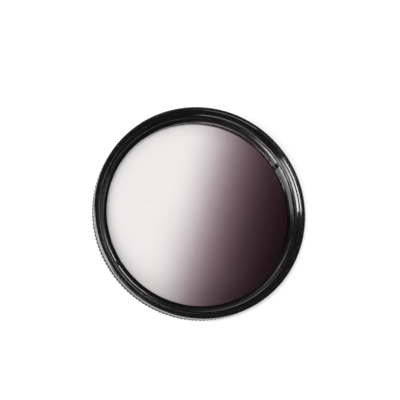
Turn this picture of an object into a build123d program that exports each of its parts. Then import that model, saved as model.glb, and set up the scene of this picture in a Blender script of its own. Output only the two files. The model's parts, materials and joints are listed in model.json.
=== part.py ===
"""A screw-in graduated lens filter for a 52 mm lens, in millimetres.

A turned, black anodised frame holds a round of graduated glass. The glass lies on a seat in the
frame, and a screwed retaining ring holds it down from the front. The frame has a male thread
behind, which goes into the lens, and a female thread in front for a cap or a second filter.

The filter lies on the end of its male thread with its front up. The origin is on the optical
axis at that end, +Z points out of the front, and +X points from the clear side of the glass to
its dark side. Both threads are drawn as plain turned walls: the female one at its crests, which
is its minor diameter, and the male one at its crests, which is its major diameter.
"""

import os
from math import pi

from build123d import *

# Nominal radius of both threads, which every other radius follows
thread_radius = 26.0

# Front rim and outside of the frame: the lead-in cone is turned down to the thread's crests
lead_in_width = 0.75
lead_in_depth = 1.15
rim_flat_width = 0.55
rim_chamfer = 0.2
shoulder_chamfer = 0.2

# Female thread in front, with its crests inside the nominal radius
front_thread_height = 0.4
front_thread_depth = 2.15

# Male thread behind the frame's shoulder, and the wall that carries it
male_thread_play = 0.03
male_thread_length = 2.3
male_thread_chamfer = 0.3
relief_width = 0.4
relief_depth = 0.52
rear_wall = 0.55

# Glass, and its seat in the frame
glass_thickness = 1.9
glass_chamfer = 0.15
glass_clearance = 0.1
seat_width = 0.8
seat_thickness = 0.95
rear_recess_depth = 0.5

# Retaining ring, and the two ledges that its bore leaves in the frame
ring_width = 1.3
ring_height = 1.15
ring_land_width = 0.3
ring_cone_drop = 0.4
ring_clearance = 0.05
ring_sunk = 0.05
ring_ledge_width = 0.3
glass_ledge_width = 0.35
glass_stands_proud = 0.2

# Spanner slots across the retaining ring
slot_count = 2
slot_width = 1.2
slot_depth = 0.7
slot_azimuth = 48.0

# Straight knurl on the rear part of the frame's edge
knurl_pitch = 0.98
knurl_tooth_width = 0.38
knurl_groove_depth = 0.3
smooth_band_height = 1.6
cut_past = 0.3

# Radii, from the thread outwards to the body and inwards to the seat
body_radius = thread_radius + lead_in_width + rim_flat_width + rim_chamfer
front_thread_radius = thread_radius - front_thread_height
male_thread_radius = thread_radius - male_thread_play
relief_radius = male_thread_radius - relief_depth
rear_bore_radius = relief_radius - rear_wall
ring_bore_radius = front_thread_radius - ring_ledge_width
ring_outer_radius = ring_bore_radius - ring_clearance
ring_inner_radius = ring_outer_radius - ring_width
glass_bore_radius = ring_bore_radius - glass_ledge_width
glass_radius = glass_bore_radius - glass_clearance
aperture_radius = glass_radius - seat_width

# Heights above the end of the male thread, stacked from the seat to the front
shoulder_z = male_thread_length
seat_back_z = rear_recess_depth
glass_bottom_z = seat_back_z + seat_thickness
glass_top_z = glass_bottom_z + glass_thickness
ring_bore_floor_z = glass_top_z - glass_stands_proud
ring_top_z = glass_top_z + ring_height
ring_ledge_z = ring_top_z + ring_sunk
front_z = ring_ledge_z + front_thread_depth
lead_in_foot_z = front_z - lead_in_depth

# The knurl takes what the smooth band leaves of the body's height
knurl_height = front_z - shoulder_z - smooth_band_height
knurl_teeth = round(2 * pi * body_radius / knurl_pitch)
knurl_groove_width = knurl_pitch - knurl_tooth_width

os.makedirs("parts", exist_ok=True)


# Frame: one turned ring, from the section of its wall
with BuildPart() as frame_ring:
    with BuildSketch(Plane.XZ):
        with BuildLine():
            Polyline(
                (rear_bore_radius, 0),
                (male_thread_radius - male_thread_chamfer, 0),
                (male_thread_radius, male_thread_chamfer),
                (male_thread_radius, shoulder_z - relief_width),
                (relief_radius, shoulder_z - relief_width),
                (relief_radius, shoulder_z),
                (body_radius - shoulder_chamfer, shoulder_z),
                (body_radius, shoulder_z + shoulder_chamfer),
                (body_radius, front_z - rim_chamfer),
                (body_radius - rim_chamfer, front_z),
                (thread_radius + lead_in_width, front_z),
                (front_thread_radius, lead_in_foot_z),
                (front_thread_radius, ring_ledge_z),
                (ring_bore_radius, ring_ledge_z),
                (ring_bore_radius, ring_bore_floor_z),
                (glass_bore_radius, ring_bore_floor_z),
                (glass_bore_radius, glass_bottom_z),
                (aperture_radius, glass_bottom_z),
                (aperture_radius, seat_back_z),
                (rear_bore_radius, seat_back_z),
                close=True,
            )
        make_face()
    revolve(axis=Axis.Z)

    # Knurl: a straight V groove between each tooth and the next
    groove_half_width = knurl_groove_width / 2
    groove_half_mouth = groove_half_width * (knurl_groove_depth + cut_past) / knurl_groove_depth
    half_tooth_angle = 180 / knurl_teeth
    with BuildSketch(Plane.XY.offset(shoulder_z)):
        with PolarLocations(body_radius, knurl_teeth, start_angle=half_tooth_angle):
            Polygon(
                (-knurl_groove_depth, 0),
                (cut_past, -groove_half_mouth),
                (cut_past, groove_half_mouth),
                align=None,
            )
    extrude(amount=knurl_height, mode=Mode.SUBTRACT)


# Graduated glass: a flat round with its sharp edges taken off
with BuildPart() as graduated_glass:
    with BuildSketch(Plane.XY.offset(glass_bottom_z)):
        Circle(glass_radius)
    extrude(amount=glass_thickness)
    chamfer(graduated_glass.edges().filter_by(GeomType.CIRCLE), length=glass_chamfer)


# Retaining ring: a flat land outside, a cone down to the glass inside, and two slots across it
with BuildPart() as retaining_ring:
    with BuildSketch(Plane.XZ):
        with BuildLine():
            Polyline(
                (ring_inner_radius, glass_top_z),
                (ring_outer_radius, glass_top_z),
                (ring_outer_radius, ring_top_z),
                (ring_outer_radius - ring_land_width, ring_top_z),
                (ring_inner_radius, ring_top_z - ring_cone_drop),
                close=True,
            )
        make_face()
    revolve(axis=Axis.Z)

    ring_middle_radius = (ring_inner_radius + ring_outer_radius) / 2
    slot_length = ring_outer_radius - ring_inner_radius + 2 * cut_past
    with BuildSketch(Plane.XY.offset(ring_top_z)):
        with PolarLocations(ring_middle_radius, slot_count, start_angle=slot_azimuth):
            Rectangle(slot_length, slot_width)
    extrude(amount=-slot_depth, mode=Mode.SUBTRACT)


frame_ring.part.label = "frame_ring"
export_step(frame_ring.part, "parts/frame_ring.step")

graduated_glass.part.label = "graduated_glass"
export_step(graduated_glass.part, "parts/graduated_glass.step")

retaining_ring.part.label = "retaining_ring"
export_step(retaining_ring.part, "parts/retaining_ring.step")
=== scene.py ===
# %% [markdown]
# # A graduated lens filter, lying on a white table
#
# The filter is a round of glass that is clear on one side and dark on the other, held in a black
# anodised aluminium frame. Its solids come from the CAD model, which gives every place and size.
# What Blender adds is what a turner and a glass maker would add: the real thread, the knurl's
# rounded teeth, broken edges, the tint in the glass and the finish on the metal.

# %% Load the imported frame
import json
from math import cos, hypot, pi, radians, sin

import bmesh
import bpy
from mathutils import Matrix, Quaternion, Vector

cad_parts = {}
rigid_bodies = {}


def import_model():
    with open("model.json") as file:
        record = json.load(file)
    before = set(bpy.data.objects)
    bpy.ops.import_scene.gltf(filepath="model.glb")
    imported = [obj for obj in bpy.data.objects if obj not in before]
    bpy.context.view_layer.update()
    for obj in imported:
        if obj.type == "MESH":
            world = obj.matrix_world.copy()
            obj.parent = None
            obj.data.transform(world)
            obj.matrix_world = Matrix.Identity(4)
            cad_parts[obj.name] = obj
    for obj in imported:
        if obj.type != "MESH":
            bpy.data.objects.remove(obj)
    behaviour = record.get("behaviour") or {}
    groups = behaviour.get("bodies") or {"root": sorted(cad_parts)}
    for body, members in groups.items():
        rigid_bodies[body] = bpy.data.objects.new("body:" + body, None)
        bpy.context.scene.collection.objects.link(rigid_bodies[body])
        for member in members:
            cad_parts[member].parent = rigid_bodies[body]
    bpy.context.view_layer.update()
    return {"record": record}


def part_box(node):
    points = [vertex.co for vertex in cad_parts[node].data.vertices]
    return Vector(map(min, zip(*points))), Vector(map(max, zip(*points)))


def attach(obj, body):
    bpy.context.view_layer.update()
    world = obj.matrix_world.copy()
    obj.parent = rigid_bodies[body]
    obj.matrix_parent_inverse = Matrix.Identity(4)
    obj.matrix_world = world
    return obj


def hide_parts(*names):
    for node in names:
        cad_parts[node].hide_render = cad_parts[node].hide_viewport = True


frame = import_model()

MM = 0.001

# %% [markdown]
# ## The sizes that everything follows
#
# The outside of each part is read from the CAD boxes, and the thread radii from the record's
# mounts, so nothing is measured twice. Only walls and edges that no box shows are written here,
# once each and in metres.

# %% Sizes
frame_low, frame_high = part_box("frame_ring")
glass_low, glass_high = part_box("graduated_glass")
ring_low, ring_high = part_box("retaining_ring")
mounts = {mount["name"]: mount for mount in frame["record"]["mounts"]}

body_radius = frame_high.x
front_z = frame_high.z
glass_radius = glass_high.x
ring_outer_radius = ring_high.x
front_crest_radius = mounts["front_thread"]["dims"]["r_mm"] * MM
rear_crest_radius = mounts["rear_thread"]["dims"]["r_mm"] * MM

thread_radius = 26.0 * MM
thread_pitch = 0.75 * MM
shoulder_z = 2.3 * MM
lead_in_width = 0.75 * MM
lead_in_depth = 1.15 * MM
seat_thickness = 0.95 * MM
seat_radius = 24.05 * MM
rear_bore_radius = 24.9 * MM
relief_radius = 25.45 * MM
relief_width = 0.4 * MM
ring_clearance = 0.05 * MM
glass_clearance = 0.1 * MM
glass_stands_proud = 0.2 * MM

ring_ledge_z = ring_high.z + ring_clearance
ring_bore_radius = ring_outer_radius + ring_clearance
ring_bore_floor_z = glass_high.z - glass_stands_proud
glass_bore_radius = glass_radius + glass_clearance
print(f"frame: {(front_z - frame_low.z) / MM:.2f} mm high, {body_radius / MM:.2f} mm in radius")

# %% [markdown]
# ## The camera
#
# The photograph looks almost straight down, from a little below and to the left, through a long
# lens. Its place comes from the ellipses that the rim and the glass make in the picture. A camera
# that is aimed with a track quaternion keeps the world's up in the picture, so the last turn is a
# roll about the line of sight.

# %% Camera
camera_azimuth = radians(238.6)
camera_elevation = radians(74.5)
camera_roll = radians(46.4)
camera_distance = 0.407
camera_focal_length = 143.6
camera_clip_start = 0.01
aim_right = -0.36 * MM
aim_up = 2.93 * MM


def direction(azimuth, elevation):
    """The unit vector that points to an azimuth from +X and an elevation above the table."""
    flat = cos(elevation)
    return Vector((flat * cos(azimuth), flat * sin(azimuth), sin(elevation)))


def make_camera():
    """A camera that looks at the front rim, with its aim shifted in the picture's own plane."""
    camera = bpy.data.objects.new("camera", bpy.data.cameras.new("camera"))
    bpy.context.scene.collection.objects.link(camera)
    rim_centre = Vector((0, 0, front_z))
    sight = direction(camera_azimuth, camera_elevation)
    camera.location = rim_centre + camera_distance * sight
    roll = Quaternion((0, 0, 1), camera_roll)
    turn = (-sight).to_track_quat("-Z", "Y") @ roll
    aim = rim_centre + turn @ Vector((aim_right, aim_up, 0))
    camera.rotation_mode = "QUATERNION"
    camera.rotation_quaternion = (aim - camera.location).to_track_quat("-Z", "Y") @ roll
    camera.data.lens = camera_focal_length
    camera.data.clip_start = camera_clip_start
    bpy.context.scene.camera = camera
    return camera


camera = make_camera()
print("camera at", [round(value, 4) for value in camera.location])

# %% [markdown]
# ## Turning a section on the lathe
#
# Every metal part here comes off a lathe, so each is made as a lathe makes it: a section of the
# wall is drawn once, in the XZ plane, and spun about the axis. The section's corners are broken
# first, by a bevel on its vertices, because no real edge is perfectly sharp and it is the small
# round on an edge that catches the light. The spin merges its last copy with its first, and after
# that the normals are recalculated, since a spin can leave a shape inside out.

# %% Turned parts
FULL_TURN = 2 * pi
lathe_steps = 352
weld_distance = 0.2e-6


def section_loop(mesh, points):
    """Draws a closed section, given as (radius, height) points, in the XZ plane."""
    corners = [mesh.verts.new((radius, 0, height)) for radius, height in points]
    for corner, following in zip(corners, corners[1:] + corners[:1]):
        mesh.edges.new((corner, following))
    return corners


def break_corners(mesh, corners, size, segments=2):
    """Rounds the corners of a section, which become the turned edges."""
    bmesh.ops.bevel(mesh, geom=corners, offset=size, offset_type="OFFSET", segments=segments,
                    profile=0.5, affect="VERTICES", material=-1)


def spin_section(mesh):
    """Spins a closed section right round the axis."""
    bmesh.ops.spin(mesh, geom=mesh.verts[:] + mesh.edges[:], cent=(0, 0, 0), axis=(0, 0, 1),
                   angle=FULL_TURN, steps=lathe_steps, use_merge=True)
    bmesh.ops.remove_doubles(mesh, verts=mesh.verts, dist=weld_distance)
    bmesh.ops.recalc_face_normals(mesh, faces=mesh.faces)


def turned(points, edge_break):
    """A closed turned ring, from its section and the size of its broken edges."""
    mesh = bmesh.new()
    break_corners(mesh, section_loop(mesh, points), edge_break)
    spin_section(mesh)
    return mesh


print(f"lathe: {lathe_steps} steps in a turn")

# %% [markdown]
# ## The frame's body
#
# The frame is one ring of aluminium. Its section runs from the bore behind the glass, round the
# end that goes into the lens, out to the shoulder, up the edge, over the flat front rim and down
# the lead-in cone, and back over the ledges that the retaining ring and the glass lie on. Where
# the knurl and the threads come, the wall stands back to the bottom of their grooves, and they
# are set into it as pieces of their own.

# %% The body's section
body_edge_break = 0.02 * MM
rim_chamfer = 0.2 * MM
groove_depth = 0.3 * MM
smooth_band_height = 1.6 * MM
set_in = 0.03 * MM
rear_root_radius = 25.51 * MM
knurl_top_z = front_z - smooth_band_height
groove_radius = body_radius - groove_depth
entry_slope = lead_in_depth / (lead_in_width + thread_radius - front_crest_radius)
groove_mouth_z = front_z - entry_slope * lead_in_width
seat_back_z = glass_low.z - seat_thickness

body_section = [
    (rear_bore_radius, 0),
    (rear_root_radius - set_in, 0),
    (rear_root_radius - set_in, shoulder_z - relief_width),
    (relief_radius, shoulder_z - relief_width),
    (relief_radius, shoulder_z),
    (groove_radius, shoulder_z),
    (groove_radius, knurl_top_z),
    (body_radius, knurl_top_z),
    (body_radius, front_z - rim_chamfer),
    (body_radius - rim_chamfer, front_z),
    (thread_radius + lead_in_width, front_z),
    (thread_radius, groove_mouth_z),
    (thread_radius + set_in, groove_mouth_z - set_in),
    (thread_radius + set_in, ring_ledge_z),
    (ring_bore_radius, ring_ledge_z),
    (ring_bore_radius, ring_bore_floor_z),
    (glass_bore_radius, ring_bore_floor_z),
    (glass_bore_radius, glass_low.z),
    (seat_radius, glass_low.z),
    (seat_radius, seat_back_z),
    (rear_bore_radius, seat_back_z),
]
frame_mesh = turned(body_section, body_edge_break)
print(f"body: {len(frame_mesh.faces)} faces")

# %% [markdown]
# ## The knurl
#
# A straight knurl is rolled into the edge by a wheel, which leaves a V groove between each tooth
# and the next. The grooves could be cut out of the body, but it is easier to round one tooth well
# than all the edges that the cuts leave. A tooth is a bar with sloping flanks, so one cube is
# made, its outer face is drawn in, and its outer edges are rounded. There are many teeth, so each
# keeps to a few dozen faces. Its foot is sunk in the body.

# %% One knurl tooth
knurl_teeth = 176
tooth_crest_width = 0.38 * MM
tooth_round = 0.14 * MM
tooth_round_segments = 3
shoulder_chamfer = 0.2 * MM


def knurl_tooth():
    """One tooth, standing on the body at azimuth 0."""
    foot = groove_radius - set_in
    foot_width = FULL_TURN * foot / knurl_teeth
    mesh = bmesh.new()
    bmesh.ops.create_cube(mesh, size=1)
    for vertex in mesh.verts:
        outside = vertex.co.x > 0
        lower = vertex.co.z < 0
        width = tooth_crest_width if outside else foot_width
        height = shoulder_z if lower else knurl_top_z
        if outside and lower:
            height += shoulder_chamfer
        vertex.co = Vector((body_radius if outside else foot, vertex.co.y * width, height))
    crests = [edge for edge in mesh.edges if all(end.co.x == body_radius for end in edge.verts)]
    lengthwise = [edge for edge in crests if edge.verts[0].co.z != edge.verts[1].co.z]
    bmesh.ops.bevel(mesh, geom=lengthwise, offset=tooth_round, offset_type="OFFSET",
                    segments=tooth_round_segments, profile=0.5, affect="EDGES", material=-1)
    bmesh.ops.recalc_face_normals(mesh, faces=mesh.faces)
    return mesh


knurl_mesh = knurl_tooth()
print(f"one tooth: {len(knurl_mesh.faces)} faces")

# %% [markdown]
# ## Copying the tooth round the edge
#
# The wheel presses the same tooth again and again, and a spin that duplicates does the same: it
# turns copies about the axis and doesn't join them. One bmesh can't take in another directly, so
# the knurl passes through a mesh datablock on its way into the frame.

# %% Knurl teeth


def add_mesh(target, source):
    """Adds one bmesh to another, and frees it."""
    carrier = bpy.data.meshes.new("carrier")
    source.to_mesh(carrier)
    source.free()
    target.from_mesh(carrier)
    bpy.data.meshes.remove(carrier)


tooth_copies = knurl_teeth - 1
bmesh.ops.spin(knurl_mesh, geom=knurl_mesh.verts[:] + knurl_mesh.edges[:] + knurl_mesh.faces[:],
               cent=(0, 0, 0), axis=(0, 0, 1), angle=FULL_TURN * tooth_copies / knurl_teeth,
               steps=tooth_copies, use_duplicate=True)
print(f"knurl: {len(knurl_mesh.faces)} faces")
add_mesh(frame_mesh, knurl_mesh)

# %% [markdown]
# ## The threads
#
# A thread is one groove that climbs a pitch in each turn. Rings side by side would look alike from
# afar, but they never run out on the cone as a real thread does, and nothing could screw in. If a
# zigzag section of several pitches is spun through one full turn and climbs exactly one pitch on
# the way, its end meets its start one ridge further up, and welding that seam makes an endless
# helix. On a metric thread the flat at the smaller diameter is a quarter of the pitch wide, and
# the one at the larger diameter an eighth.

# %% Helix
inner_flat = thread_pitch / 4
outer_flat = thread_pitch / 8
crest_round = 0.02 * MM


def zigzag(crest_radius, root_radius, crest_width, root_width, low, pitches):
    """The (radius, height) points of a thread's section over some pitches, from a height up."""
    flank = (thread_pitch - crest_width - root_width) / 2
    points = []
    for pitch in range(pitches):
        foot = low + pitch * thread_pitch
        points.append((root_radius, foot + root_width / 2))
        points.append((crest_radius, foot + root_width / 2 + flank))
        points.append((crest_radius, foot + root_width / 2 + flank + crest_width))
        points.append((root_radius, foot + thread_pitch - root_width / 2))
    return points


def helix(section):
    """An open helix of whole turns, from a section of several pitches."""
    mesh = bmesh.new()
    corners = [mesh.verts.new((radius, 0, height)) for radius, height in section]
    for corner, following in zip(corners, corners[1:]):
        mesh.edges.new((corner, following))
    break_corners(mesh, corners[1:-1], crest_round, segments=1)
    bmesh.ops.spin(mesh, geom=mesh.verts[:] + mesh.edges[:], cent=(0, 0, 0), axis=(0, 0, 1),
                   dvec=(0, 0, thread_pitch / lathe_steps), angle=FULL_TURN, steps=lathe_steps)
    bmesh.ops.remove_doubles(mesh, verts=mesh.verts, dist=weld_distance)
    return mesh


print(f"thread: {thread_pitch / MM:.2f} mm pitch, flats {inner_flat / MM:.3f} and {outer_flat / MM:.3f} mm")

# %% [markdown]
# ## From a helix to a closed sleeve
#
# The helix is an open sheet that runs past both ends of the real thread. It is cut flat to its
# length, each cut end is drawn back into the wall, and the two are bridged behind it. That makes
# a closed sleeve with a real inside, which can be set into the body and cut like a solid.

# %% Sleeve


def cut_end(mesh, height, keep_below, wall_radius):
    """Cuts one end of a helix flat, and draws it back to the wall."""
    bmesh.ops.bisect_plane(mesh, geom=mesh.verts[:] + mesh.edges[:] + mesh.faces[:], dist=0,
                           plane_co=(0, 0, height), plane_no=(0, 0, 1),
                           clear_outer=keep_below, clear_inner=not keep_below)
    bmesh.ops.remove_doubles(mesh, verts=mesh.verts, dist=weld_distance)
    end = [edge for edge in mesh.edges if edge.is_boundary
           and all(abs(vertex.co.z - height) < weld_distance for vertex in edge.verts)]
    drawn = bmesh.ops.extrude_edge_only(mesh, edges=end)["geom"]
    for vertex in [part for part in drawn if isinstance(part, bmesh.types.BMVert)]:
        outwards = wall_radius / hypot(vertex.co.x, vertex.co.y)
        vertex.co.x *= outwards
        vertex.co.y *= outwards


def thread_sleeve(section, wall_radius, low, high):
    """A closed sleeve with a helical thread, flat at both ends, and its back at the wall."""
    mesh = helix(section)
    cut_end(mesh, high, True, wall_radius)
    cut_end(mesh, low, False, wall_radius)
    bmesh.ops.bridge_loops(mesh, edges=[edge for edge in mesh.edges if edge.is_boundary])
    bmesh.ops.recalc_face_normals(mesh, faces=mesh.faces)
    return mesh


sleeve_back = 2 * set_in
print(f"each sleeve reaches {sleeve_back / MM:.2f} mm behind its grooves")

# %% [markdown]
# ## Cutting a solid with a solid
#
# A lathe turns a cone on each thread that lets it start in its mate, and the cone crosses the
# ridges at a slant. A plane can't make that cut and a bevel can't either, because there is no edge
# to follow. It is one solid taken away from another, so a Boolean modifier makes it. The cutter
# is a turned ring whose section is a triangle, with one side on the cone.

# %% Cutters


def cut_away(mesh, cutter):
    """Takes a cutter away from a mesh, with a Boolean modifier, and returns what is left."""
    work = []
    for name, part in (("blank", mesh), ("cutter", cutter)):
        data = bpy.data.meshes.new(name)
        part.to_mesh(data)
        part.free()
        work.append(bpy.data.objects.new(name, data))
        bpy.context.scene.collection.objects.link(work[-1])
    blank, tool = work
    cut = blank.modifiers.new("cut", "BOOLEAN")
    cut.operation = "DIFFERENCE"
    cut.solver = "EXACT"
    cut.object = tool
    bpy.context.view_layer.update()
    left = bmesh.new()
    left.from_object(blank, bpy.context.evaluated_depsgraph_get())
    for item in work:
        data = item.data
        bpy.data.objects.remove(item)
        bpy.data.meshes.remove(data)
    return left


def cone_cutter(low, high, back):
    """A sharp turned ring, from the two ends of its side on the cone and its third corner."""
    mesh = bmesh.new()
    section_loop(mesh, [low, high, back])
    spin_section(mesh)
    return mesh


def add_thread(sleeve, cutter, name):
    """Turns the cone on a thread, adds the thread to the frame, and says whether it is closed."""
    sleeve = cut_away(sleeve, cutter)
    open_edges = sum(not edge.is_manifold for edge in sleeve.edges)
    print(f"{name}: {len(sleeve.faces)} faces, {open_edges} open edges")
    add_mesh(frame_mesh, sleeve)


cut_past = 0.5 * MM
print(f"each cutter reaches {cut_past / MM:.1f} mm past what it cuts")

# %% [markdown]
# ## The front thread
#
# The front thread takes a cap, a hood or a second filter. Its crests start at the foot of the
# lead-in cone and end at the ledge above the retaining ring. Its grooves are deeper than the
# cone's foot, so they run out higher up on the cone, as thin slanting lines. Above them the cone
# is the body's own. The sleeve is cut a few microns lower, so that the two never share a surface.

# %% Front thread
sleeve_sunk = 0.003 * MM
front_pitches = 6
front_pitches_below_ledge = 3
front_thread_rise = 0.65 * MM
front_start_z = ring_ledge_z - front_pitches_below_ledge * thread_pitch + front_thread_rise
front_section = zigzag(front_crest_radius, thread_radius, inner_flat, outer_flat, front_start_z,
                       front_pitches)
front_sleeve = thread_sleeve(front_section, thread_radius + sleeve_back, ring_ledge_z - set_in,
                             groove_mouth_z - sleeve_sunk)

cone_inside = front_crest_radius - cut_past
cone_outside = thread_radius + cut_past
cone_foot_z = front_z - lead_in_depth - sleeve_sunk
cone_low_z = cone_foot_z - entry_slope * cut_past
cone_high_z = cone_foot_z + entry_slope * (cone_outside - front_crest_radius)
front_cutter = cone_cutter((cone_inside, cone_low_z), (cone_outside, cone_high_z),
                           (cone_inside, cone_high_z))
add_thread(front_sleeve, front_cutter, "front thread")

# %% [markdown]
# ## The rear thread
#
# The rear thread screws into the lens. The photograph doesn't show it, so it has what every such
# filter has: the same pitch, a small chamfer on its end, and a relief groove at the shoulder,
# where the tool that cut it ran out.

# %% Rear thread
rear_chamfer = 0.3 * MM
rear_pitches = 7
rear_pitches_below_end = 2.5
rear_start_z = -rear_pitches_below_end * thread_pitch
rear_section = zigzag(rear_crest_radius, rear_root_radius, outer_flat, inner_flat, rear_start_z,
                      rear_pitches)
rear_sleeve = thread_sleeve(rear_section, rear_root_radius - sleeve_back, 0,
                            shoulder_z - relief_width)

chamfer_inside = rear_crest_radius - rear_chamfer - cut_past
chamfer_outside = rear_crest_radius + cut_past
rear_cutter = cone_cutter((chamfer_inside, -cut_past), (chamfer_outside, rear_chamfer + cut_past),
                          (chamfer_outside, -cut_past))
add_thread(rear_sleeve, rear_cutter, "rear thread")

# %% [markdown]
# ## The retaining ring
#
# A thin ring screws down on the glass from the front. Its inner side is a cone that reflects light
# back as a second narrow band inside the rim. A spanner turns it by two slots, which are sawn
# right across it, so one long blade across the axis is taken away from the ring.

# %% Retaining ring
ring_edge_break = 0.03 * MM
ring_inner_radius = 23.95 * MM
ring_land_width = 0.3 * MM
ring_cone_drop = 0.4 * MM
slot_width = 1.2 * MM
slot_depth = 0.7 * MM
slot_azimuth = radians(48)

ring_section = [
    (ring_inner_radius, ring_low.z),
    (ring_outer_radius, ring_low.z),
    (ring_outer_radius, ring_high.z),
    (ring_outer_radius - ring_land_width, ring_high.z),
    (ring_inner_radius, ring_high.z - ring_cone_drop),
]


def slot_blade():
    """One blade across the whole ring, with half of its height below the ring's top."""
    mesh = bmesh.new()
    bmesh.ops.create_cube(mesh, size=1)
    bmesh.ops.scale(mesh, vec=(2 * body_radius, slot_width, 2 * slot_depth), verts=mesh.verts)
    bmesh.ops.translate(mesh, vec=(0, 0, ring_high.z), verts=mesh.verts)
    bmesh.ops.rotate(mesh, cent=(0, 0, 0), matrix=Matrix.Rotation(slot_azimuth, 3, "Z"),
                     verts=mesh.verts)
    return mesh


ring_mesh = cut_away(turned(ring_section, ring_edge_break), slot_blade())
print(f"retaining ring: {len(ring_mesh.faces)} faces")

# %% [markdown]
# ## The glass
#
# The glass is a flat round with its sharp edges ground off. A circle is filled, extruded to its
# thickness and bevelled on its two rims. It is closed all round, because light is bent where it
# goes in and again where it comes out.

# %% Glass
glass_edge = 0.15 * MM
glass_edge_segments = 2
glass_segments = 256


def glass_round():
    """The closed round of glass, lying on its seat."""
    mesh = bmesh.new()
    bmesh.ops.create_circle(mesh, cap_ends=True, segments=glass_segments, radius=glass_radius)
    bmesh.ops.translate(mesh, vec=(0, 0, glass_low.z), verts=mesh.verts)
    made = bmesh.ops.extrude_face_region(mesh, geom=mesh.faces[:])["geom"]
    top = [part for part in made if isinstance(part, bmesh.types.BMVert)]
    bmesh.ops.translate(mesh, vec=(0, 0, glass_high.z - glass_low.z), verts=top)
    rims = [edge for edge in mesh.edges if edge.verts[0].co.z == edge.verts[1].co.z]
    bmesh.ops.bevel(mesh, geom=rims, offset=glass_edge, offset_type="OFFSET",
                    segments=glass_edge_segments, profile=0.5, affect="EDGES", material=-1)
    bmesh.ops.recalc_face_normals(mesh, faces=mesh.faces)
    return mesh


glass_mesh = glass_round()
print(f"glass: {len(glass_mesh.faces)} faces")

# %% [markdown]
# ## Building with nodes
#
# Turned grain, rubbed edges and dust are used by more than one finish or piece, so each is a node
# group that is built once. A group only gives masks and heights that change over the surface. The
# shaders stay in the materials. A few helpers keep the node trees short enough to read.

# %% Helpers for nodes


def add_node(tree, kind, inputs=None, **settings):
    """Adds a node, sets its properties, and sets or links its inputs by name or number."""
    node = tree.nodes.new(kind)
    for key, value in settings.items():
        setattr(node, key, value)
    for key, value in (inputs or {}).items():
        if isinstance(value, bpy.types.NodeSocket):
            tree.links.new(value, node.inputs[key])
        else:
            node.inputs[key].default_value = value
    return node


def maths(tree, operation, first, second=0.0, third=0.0, clamp=False):
    """One step of arithmetic on values or sockets."""
    node = add_node(tree, "ShaderNodeMath", {0: first, 1: second, 2: third}, operation=operation)
    node.use_clamp = clamp
    return node.outputs[0]


def smooth_step(tree, value, start, end):
    """0 at start, 1 at end and a smooth change between them."""
    node = add_node(tree, "ShaderNodeMapRange",
                    {"Value": value, "From Min": start, "From Max": end},
                    interpolation_type="SMOOTHSTEP")
    return node.outputs["Result"]


def noise(tree, vector, scale, detail):
    """A noise about a half, at a scale per metre."""
    node = add_node(tree, "ShaderNodeTexNoise", {"Vector": vector, "Scale": scale, "Detail": detail})
    return node.outputs[0]


def axis_distance(tree, vector):
    """The distance from the axis, and the height, of a point in Object coordinates."""
    parts = add_node(tree, "ShaderNodeSeparateXYZ", {0: vector})
    flat = add_node(tree, "ShaderNodeCombineXYZ", {0: parts.outputs[0], 1: parts.outputs[1]})
    length = add_node(tree, "ShaderNodeVectorMath", {0: flat.outputs[0]}, operation="LENGTH")
    return length.outputs["Value"], parts.outputs[2]


print("node helpers are ready")

# %% [markdown]
# ## Making and placing a group
#
# A group is a small tree of its own with named sockets. Its inputs carry what differs from one
# finish to the next, such as how fine the grain is, and a vector socket carries the place on the
# piece. Placing a group sets or links those sockets by their names.

# %% Groups


def new_group(name, inputs, outputs):
    """An empty shader group with named float or vector sockets."""
    tree = bpy.data.node_groups.new(name, "ShaderNodeTree")
    for label, value in inputs.items():
        kind = "NodeSocketVector" if value is None else "NodeSocketFloat"
        socket = tree.interface.new_socket(name=label, in_out="INPUT", socket_type=kind)
        if value is not None:
            socket.default_value = value
    for label in outputs:
        tree.interface.new_socket(name=label, in_out="OUTPUT", socket_type="NodeSocketFloat")
    return tree, tree.nodes.new("NodeGroupInput"), tree.nodes.new("NodeGroupOutput")


def use_group(tree, group, **inputs):
    """Places a group, with its inputs given by name and an underscore for each space."""
    node = tree.nodes.new("ShaderNodeGroup")
    node.node_tree = group
    for key, value in inputs.items():
        label = key.replace("_", " ")
        if isinstance(value, bpy.types.NodeSocket):
            tree.links.new(value, node.inputs[label])
        else:
            node.inputs[label].default_value = value
    return node


print("group helpers are ready")

# %% [markdown]
# ## Turned grain
#
# A lathe tool leaves fine rings. They change with the distance from the axis and with the height,
# and not with the angle, so a noise texture is read at a point made of those two alone. A second,
# coarse noise on the plain place gives slow patches, as handling leaves them.

# %% Turned grain
grain_detail = 2.0
patch_scale = 0.25 / MM
patch_detail = 3.0


def build_turned_grain():
    """Rings in Grain and slow changes in Patches, both about a half."""
    tree, entry, leave = new_group("turned grain", {"Vector": None, "Rings per mm": 8.0},
                                   ["Grain", "Patches"])
    around, height = axis_distance(tree, entry.outputs["Vector"])
    rings = maths(tree, "DIVIDE", entry.outputs["Rings per mm"], MM)
    place = add_node(tree, "ShaderNodeCombineXYZ", {0: maths(tree, "MULTIPLY", around, rings),
                                                    1: maths(tree, "MULTIPLY", height, rings)})
    grain = noise(tree, place.outputs[0], 1.0, grain_detail)
    patches = noise(tree, entry.outputs["Vector"], patch_scale, patch_detail)
    tree.links.new(grain, leave.inputs["Grain"])
    tree.links.new(patches, leave.inputs["Patches"])
    return tree


turned_grain = build_turned_grain()
print("group:", turned_grain.name)

# %% [markdown]
# ## Rubbed edges
#
# Hands and lens caps rub the outer edges first, and never evenly. A turned edge is a circle, so
# how near a point is to it follows from its radius and height, and a noise breaks the mask up.

# %% Rubbed edges
wear_scale = 0.9 / MM
wear_detail = 4.0
wear_starts = 0.42
wear_full = 0.72


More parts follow.
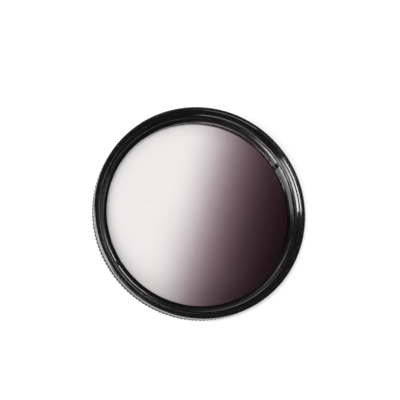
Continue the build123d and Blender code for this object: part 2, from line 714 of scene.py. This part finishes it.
def build_rubbed_edge():
    """A mask along one turned edge, given by its radius and height, broken up as wear is."""
    tree, entry, leave = new_group(
        "rubbed edge",
        {"Vector": None, "Radius": body_radius, "Height": front_z, "Reach": rim_chamfer}, ["Mask"])
    around, height = axis_distance(tree, entry.outputs["Vector"])
    across = maths(tree, "SUBTRACT", around, entry.outputs["Radius"])
    along = maths(tree, "SUBTRACT", height, entry.outputs["Height"])
    squares = maths(tree, "ADD", maths(tree, "MULTIPLY", across, across),
                    maths(tree, "MULTIPLY", along, along))
    away = maths(tree, "DIVIDE", maths(tree, "SQRT", squares), entry.outputs["Reach"])
    near = maths(tree, "SUBTRACT", 1.0, away, clamp=True)
    wear = noise(tree, entry.outputs["Vector"], wear_scale, wear_detail)
    broken = smooth_step(tree, wear, wear_starts, wear_full)
    tree.links.new(maths(tree, "MULTIPLY", near, broken), leave.inputs["Mask"])
    return tree


rubbed_edge = build_rubbed_edge()
print("group:", rubbed_edge.name)

# %% [markdown]
# ## Dust
#
# Even a clean filter carries a few specks. A Voronoi texture gives each cell a point and a random
# colour. The colour picks the few cells that are kept and how big their speck is, and the distance
# from the point draws it.

# %% Dust
smallest_speck = 0.4


def build_dust():
    """A few small specks: round dots about cell points, of which only some are kept."""
    tree, entry, leave = new_group(
        "dust", {"Vector": None, "Cells per mm": 0.4, "Speck size": 0.05, "Share kept": 0.1},
        ["Mask"])
    scale = maths(tree, "DIVIDE", entry.outputs["Cells per mm"], MM)
    cells = add_node(tree, "ShaderNodeTexVoronoi",
                     {"Vector": entry.outputs["Vector"], "Scale": scale})
    pick = add_node(tree, "ShaderNodeSeparateXYZ", {0: cells.outputs["Color"]})
    kept = maths(tree, "LESS_THAN", pick.outputs[0], entry.outputs["Share kept"])
    share = maths(tree, "ADD", pick.outputs[1], smallest_speck)
    size = maths(tree, "MULTIPLY", entry.outputs["Speck size"], share)
    dot = maths(tree, "LESS_THAN", cells.outputs["Distance"], size)
    tree.links.new(maths(tree, "MULTIPLY", kept, dot), leave.inputs["Mask"])
    return tree


dust = build_dust()
print("group:", dust.name)

# %% [markdown]
# ## Starting a material
#
# Each material starts from the Principled shader and from Object coordinates. These stay fixed to
# the piece in metres, so a pattern keeps its size and its place.

# %% Helpers for materials


def new_material(name):
    """A material, with its tree, its shader and the place on the piece."""
    material = bpy.data.materials.new(name)
    material.use_nodes = True
    tree = material.node_tree
    shader = tree.nodes["Principled BSDF"]
    place = tree.nodes.new("ShaderNodeTexCoord").outputs["Object"]
    return material, tree, shader, place


def mix_colour(tree, factor, first, second):
    """The first colour at 0 and the second at 1, each a colour or a socket."""
    node = add_node(tree, "ShaderNodeMix", {0: factor}, data_type="RGBA")
    for socket, value in ((node.inputs[6], first), (node.inputs[7], second)):
        if isinstance(value, bpy.types.NodeSocket):
            tree.links.new(value, socket)
        else:
            socket.default_value = value
    return node.outputs[2]


print("material helpers are ready")

# %% [markdown]
# ## Black anodised aluminium
#
# Anodising turns the skin of the metal to a clear oxide, which is dyed black. It looks like satin
# black enamel: hardly any colour of its own, a soft gloss, and the tool's rings just showing in
# that gloss. Where an edge is rubbed, the black thins to dark grey. The knurl is rolled and not
# cut, which leaves it matte, so a mask of its radii and heights makes it rougher.

# %% Black anodised finish
metal_black = (0.0022, 0.0019, 0.0018, 1)
metal_worn = (0.045, 0.043, 0.041, 1)
dust_pale = (0.32, 0.31, 0.30, 1)
oxide_ior = 1.5
knurl_roughness = 0.7
grain_share = 0.5
gloss_from = 0.3
gloss_to = 0.7
grain_bump_strength = 0.5
grain_bump_height = 0.002 * MM


def turned_zone(tree, around, height, inner, outer, low, high):
    """A mask of the part of a piece that lies between two radii and two heights."""
    across = maths(tree, "MULTIPLY", maths(tree, "GREATER_THAN", around, inner),
                   maths(tree, "LESS_THAN", around, outer))
    along = maths(tree, "MULTIPLY", maths(tree, "GREATER_THAN", height, low),
                  maths(tree, "LESS_THAN", height, high))
    return maths(tree, "MULTIPLY", across, along)


def anodised_colour(tree, place, specks, edges):
    """Black, with rubbed edges given as (radius, height, reach), and pale specks."""
    wear = 0.0
    for radius, height, reach in edges:
        mask = use_group(tree, rubbed_edge, Vector=place, Radius=radius, Height=height, Reach=reach)
        wear = maths(tree, "MAXIMUM", mask.outputs["Mask"], wear)
    return mix_colour(tree, specks, mix_colour(tree, wear, metal_black, metal_worn), dust_pale)


def anodised_roughness(tree, place, specks, grain, glossiest, dullest):
    """A soft gloss that changes with the grain, and is lost on the knurl and under specks."""
    fine = maths(tree, "MULTIPLY", grain.outputs["Grain"], grain_share)
    even = maths(tree, "MULTIPLY_ADD", grain.outputs["Patches"], 1 - grain_share, fine)
    gloss = add_node(tree, "ShaderNodeMapRange", {
        "Value": even, "From Min": gloss_from, "From Max": gloss_to,
        "To Min": glossiest, "To Max": dullest})
    around, height = axis_distance(tree, place)
    knurled = turned_zone(tree, around, height, groove_radius, body_radius + set_in, 0.0,
                          knurl_top_z)
    matte = maths(tree, "MAXIMUM", specks, maths(tree, "MULTIPLY", knurled, knurl_roughness))
    return maths(tree, "MAXIMUM", gloss.outputs["Result"], matte)


def anodised(name, rings_per_mm, edges, glossiest, dullest):
    """A black anodised material, from its grain, its rubbed edges and its range of roughness."""
    material, tree, shader, place = new_material(name)
    grain = use_group(tree, turned_grain, Vector=place, Rings_per_mm=rings_per_mm)
    specks = use_group(tree, dust, Vector=place, Cells_per_mm=0.45, Speck_size=0.05,
                       Share_kept=0.05).outputs["Mask"]
    bump = add_node(tree, "ShaderNodeBump", {
        "Height": grain.outputs["Grain"], "Strength": grain_bump_strength,
        "Distance": grain_bump_height})
    roughness = anodised_roughness(tree, place, specks, grain, glossiest, dullest)
    tree.links.new(anodised_colour(tree, place, specks, edges), shader.inputs["Base Color"])
    tree.links.new(roughness, shader.inputs["Roughness"])
    tree.links.new(bump.outputs[0], shader.inputs["Normal"])
    shader.inputs["IOR"].default_value = oxide_ior
    return material


print(f"knurl roughness {knurl_roughness}")

# %% [markdown]
# ## The two anodised parts
#
# The frame is handled, so its outer rim and the mouth of its cone are rubbed. The retaining ring
# was turned finer and sits inside, where only the edge of its land is touched by the spanner.

# %% Anodised materials
rim_rub = (body_radius - rim_chamfer / 2, front_z - rim_chamfer / 2, 0.16 * MM)
mouth_rub = (thread_radius + lead_in_width, front_z, 0.1 * MM)
land_rub = (ring_outer_radius - ring_land_width, ring_high.z, 0.08 * MM)
frame_black = anodised("black_anodised", rings_per_mm=9.0, edges=[rim_rub, mouth_rub],
                       glossiest=0.11, dullest=0.18)
ring_black = anodised("black_anodised_ring", rings_per_mm=14.0, edges=[land_rub],
                      glossiest=0.12, dullest=0.19)
print("materials:", frame_black.name, ring_black.name)

# %% [markdown]
# ## Graduated glass
#
# The glass holds a dye whose density is nothing on one side, rises softly and then goes on rising
# evenly to the other side. What a dye lets through is its colour at a density of one, to the
# power of the density here, so a gamma node is all that it takes. The dye stops a little more
# green and blue than red, which makes the dark side a warm brown-black.
#
# Light from a lamp has to reach the table through the glass, and back to the eye again. A glass
# shader bends those rays and so would leave most of them to chance. Rays from lamps and from the
# table therefore meet a plain transparent shader, with the same tint shared by the two faces.

# %% Graduated glass
dye_starts = -2.5 * MM
dye_per_mm = 0.039
dye_softness = 0.41
dye_colour = (0.1, 0.060, 0.074, 1)
clear_glass = (0.86, 0.85, 0.848)
glass_ior = 1.5
share_of_each_face = 0.5


def dyed_tint(tree, place):
    """What the glass lets through, from one face to the other."""
    parts = add_node(tree, "ShaderNodeSeparateXYZ", {0: place})
    past_start = maths(tree, "SUBTRACT", parts.outputs[0], dye_starts)
    even_rise = maths(tree, "MULTIPLY", past_start, dye_per_mm / MM)
    density = maths(tree, "SMOOTH_MAX", even_rise, 0.0, dye_softness)
    dye = add_node(tree, "ShaderNodeGamma", {"Color": dye_colour, "Gamma": density})
    tint = add_node(tree, "ShaderNodeVectorMath", {0: dye.outputs[0], 1: clear_glass},
                    operation="MULTIPLY")
    return tint.outputs[0]


def graduated_glass_material():
    """Glass with the tint, which lamps and the table see as a plain tinted pane."""
    material, tree, shader, place = new_material("graduated_glass")
    tint = dyed_tint(tree, place)
    specks = use_group(tree, dust, Vector=place, Cells_per_mm=0.22, Speck_size=0.03,
                       Share_kept=0.12).outputs["Mask"]
    tree.links.new(mix_colour(tree, specks, tint, dust_pale), shader.inputs["Base Color"])
    shader.inputs["Transmission Weight"].default_value = 1.0
    shader.inputs["Roughness"].default_value = 0.0
    shader.inputs["IOR"].default_value = glass_ior
    each_face = add_node(tree, "ShaderNodeGamma", {"Color": tint, "Gamma": share_of_each_face})
    pane = add_node(tree, "ShaderNodeBsdfTransparent", {0: each_face.outputs[0]})
    path = tree.nodes.new("ShaderNodeLightPath").outputs
    lamp_or_table = maths(tree, "MAXIMUM", path["Is Shadow Ray"], path["Is Diffuse Ray"])
    mix = add_node(tree, "ShaderNodeMixShader",
                   {0: lamp_or_table, 1: shader.outputs[0], 2: pane.outputs[0]})
    tree.links.new(mix.outputs[0], tree.nodes["Material Output"].inputs["Surface"])
    return material


tinted_glass = graduated_glass_material()
print("material:", tinted_glass.name)

# %% [markdown]
# ## The pieces
#
# Each finished mesh becomes one object, in place of the plain CAD solid of the same part. Faces
# are smooth, and an edge is sharp where the surface really turns. Smooth shading alone would bend
# the light on a flat face next to a small round, so a modifier weights the normals by the size
# of the faces, and the flat stays flat.

# %% Pieces
sharp_angle = radians(25)


def finish_piece(mesh, name, material, node):
    """Makes an object of a bmesh, smooth but for its real edges, in place of a CAD node."""
    for face in mesh.faces:
        face.smooth = True
    for edge in mesh.edges:
        edge.smooth = edge.calc_face_angle(pi) < sharp_angle
    data = bpy.data.meshes.new(name)
    mesh.to_mesh(data)
    mesh.free()
    data.materials.append(material)
    piece = bpy.data.objects.new(name, data)
    bpy.context.scene.collection.objects.link(piece)
    piece.modifiers.new("weighted_normals", "WEIGHTED_NORMAL").keep_sharp = True
    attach(piece, "root")
    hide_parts(node)
    triangles = sum(len(face.vertices) - 2 for face in data.polygons)
    print(f"{name}: {triangles} triangles")


finish_piece(frame_mesh, "threaded_frame", frame_black, "frame_ring")
finish_piece(ring_mesh, "slotted_retaining_ring", ring_black, "retaining_ring")
finish_piece(glass_mesh, "tinted_glass", tinted_glass, "graduated_glass")

# %% [markdown]
# ## The table
#
# The photograph has a plain white table that is lit until it is pure white. A wide disc is enough,
# with a matte white that hardly changes, so that the table never reads as a flat fill.

# %% Table
table_radius = 3.0
table_segments = 64
table_white = (0.90, 0.90, 0.90, 1)
table_mottle = (0.88, 0.88, 0.88, 1)
table_grain_scale = 1.2 / MM
table_grain_detail = 3.0
table_roughness = 0.9
table_specular = 0.2


def make_table():
    """A wide matte white disc under the filter, not attached to its body."""
    mesh = bmesh.new()
    bmesh.ops.create_circle(mesh, cap_ends=True, segments=table_segments, radius=table_radius)
    data = bpy.data.meshes.new("table")
    mesh.to_mesh(data)
    mesh.free()
    material, tree, shader, place = new_material("white_table")
    mottle = noise(tree, place, table_grain_scale, table_grain_detail)
    colour = mix_colour(tree, mottle, table_white, table_mottle)
    tree.links.new(colour, shader.inputs["Base Color"])
    shader.inputs["Roughness"].default_value = table_roughness
    shader.inputs["Specular IOR Level"].default_value = table_specular
    data.materials.append(material)
    table = bpy.data.objects.new("table", data)
    bpy.context.scene.collection.objects.link(table)


make_table()
print(f"table: {table_radius} m in radius")

# %% [markdown]
# ## The light
#
# Black gloss shows only what it mirrors, so each lamp is placed by what should mirror it. A
# softbox high on the left gives the retaining ring its band, and a low strip below it gives the
# lead-in cone its brighter one. The largest share of the table's light comes from a small
# softbox almost overhead, which stands where neither the flat rim nor the cones mirror it
# straight into the camera. Lamps on the other three sides, and a little light from all round,
# open the shadows.

# %% Lamps
world_light = (1, 1, 1, 1)
world_strength = 0.07


def soft_lamp(name, azimuth, elevation, distance, width, height, watts):
    """A soft rectangular lamp, aimed at the middle of the filter, with its width level."""
    data = bpy.data.lights.new(name, "AREA")
    data.shape = "RECTANGLE"
    data.size = width
    data.size_y = height
    data.energy = watts
    lamp = bpy.data.objects.new(name, data)
    bpy.context.scene.collection.objects.link(lamp)
    middle = Vector((0, 0, front_z / 2))
    away = direction(radians(azimuth), radians(elevation))
    lamp.location = middle + distance * away
    lamp.rotation_mode = "QUATERNION"
    lamp.rotation_quaternion = (-away).to_track_quat("-Z", "Y")
    print(f"{name}: {watts} W")


soft_lamp("top_softbox", azimuth=220, elevation=78, distance=0.8, width=0.22, height=0.22, watts=4.7)
soft_lamp("left_softbox", azimuth=206, elevation=59, distance=0.7, width=0.36, height=0.25, watts=1.1)
soft_lamp("left_strip", azimuth=206, elevation=14, distance=0.6, width=0.42, height=0.12, watts=3.3)
soft_lamp("near_softbox", azimuth=277, elevation=38, distance=0.8, width=0.5, height=0.3, watts=2.6)
soft_lamp("right_softbox", azimuth=40, elevation=52, distance=0.9, width=0.5, height=0.25, watts=1.1)
soft_lamp("far_softbox", azimuth=115, elevation=60, distance=0.9, width=0.5, height=0.25, watts=1.0)

world = bpy.data.worlds.new("studio")
world.use_nodes = True
background = world.node_tree.nodes["Background"]
background.inputs["Color"].default_value = world_light
background.inputs["Strength"].default_value = world_strength
bpy.context.scene.world = world
bpy.context.scene.view_settings.view_transform = "Standard"
